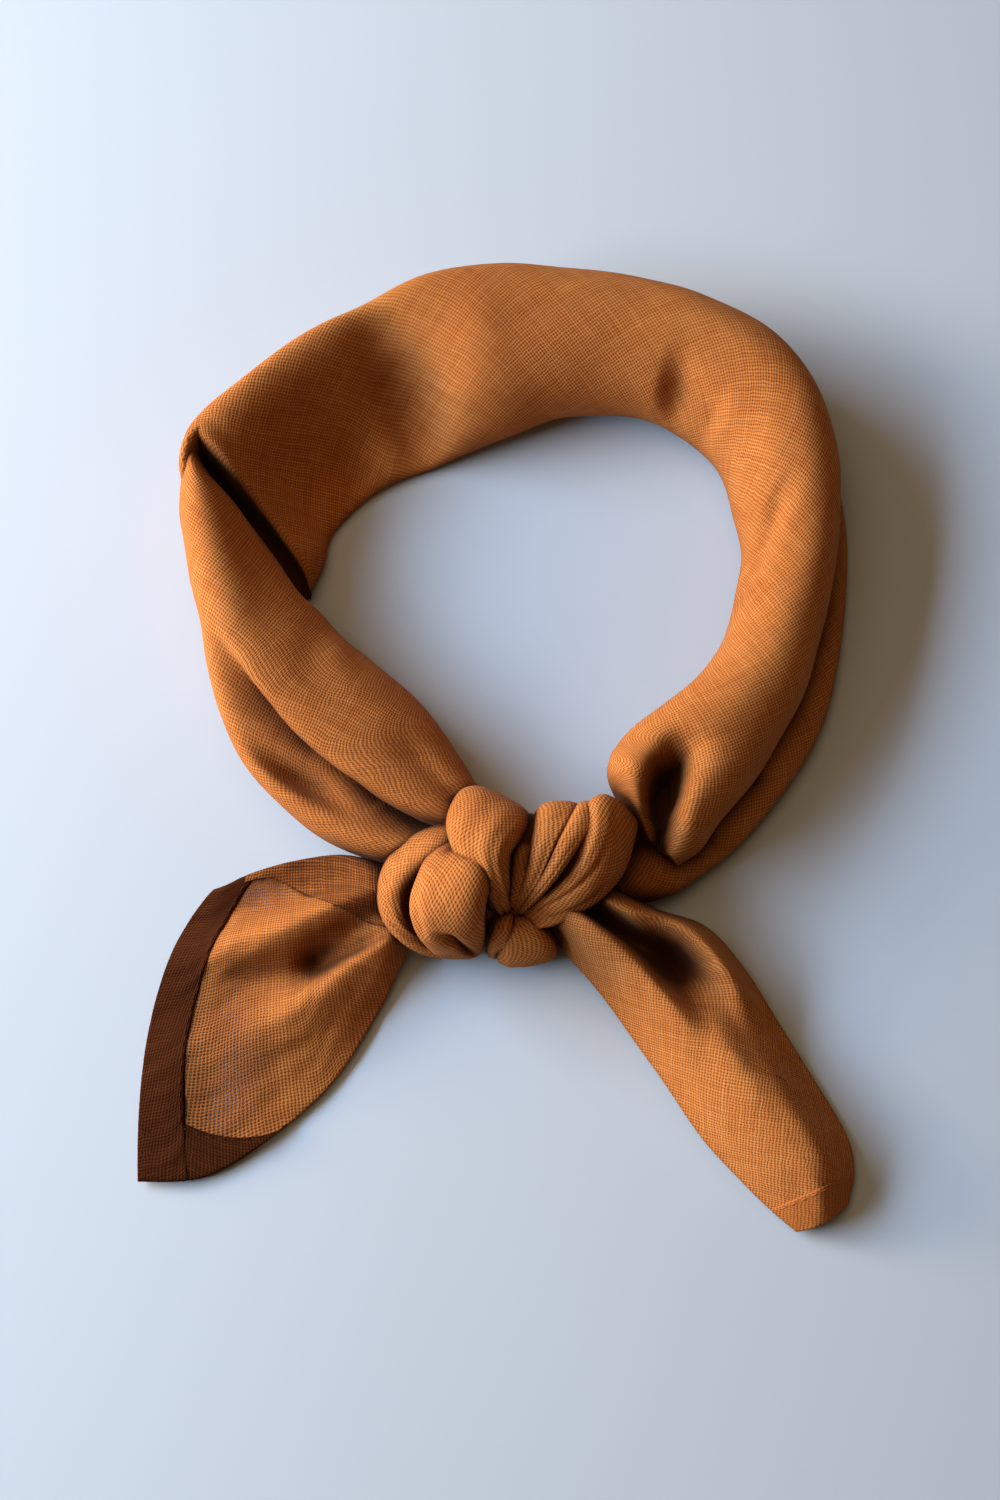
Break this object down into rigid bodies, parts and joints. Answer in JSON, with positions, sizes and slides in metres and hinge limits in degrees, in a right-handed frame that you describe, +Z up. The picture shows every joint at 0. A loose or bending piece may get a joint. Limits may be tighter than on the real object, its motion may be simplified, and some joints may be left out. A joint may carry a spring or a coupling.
{
  "type": "tied neckerchief",
  "caption": "Square of light gauze rolled on the bias into a neck band, closed with a square knot, with a short hemmed end on each side.",
  "frame": {"origin": "on the surface that the neckerchief lies on, below the middle of its outline", "axes": "+Z up off the surface, +Y from the knot across the neck opening, +X to the right with the knot nearest the viewer"},
  "size_m": [0.1954, 0.2705, 0.0384],
  "materials": {
    "gauze": "loose plain weave, matt",
    "hem": "doubled plain weave, stitched, matt"
  },
  "bodies": {
    "root": {"neck_band": "gauze", "knot_left_wrap": "gauze", "knot_right_wrap": "gauze", "knot_lower_wrap": "gauze", "left_tail": "gauze", "right_tail": "gauze", "left_tail_hem": "hem", "right_tail_hem": "hem"}
  },
  "joints": []
}
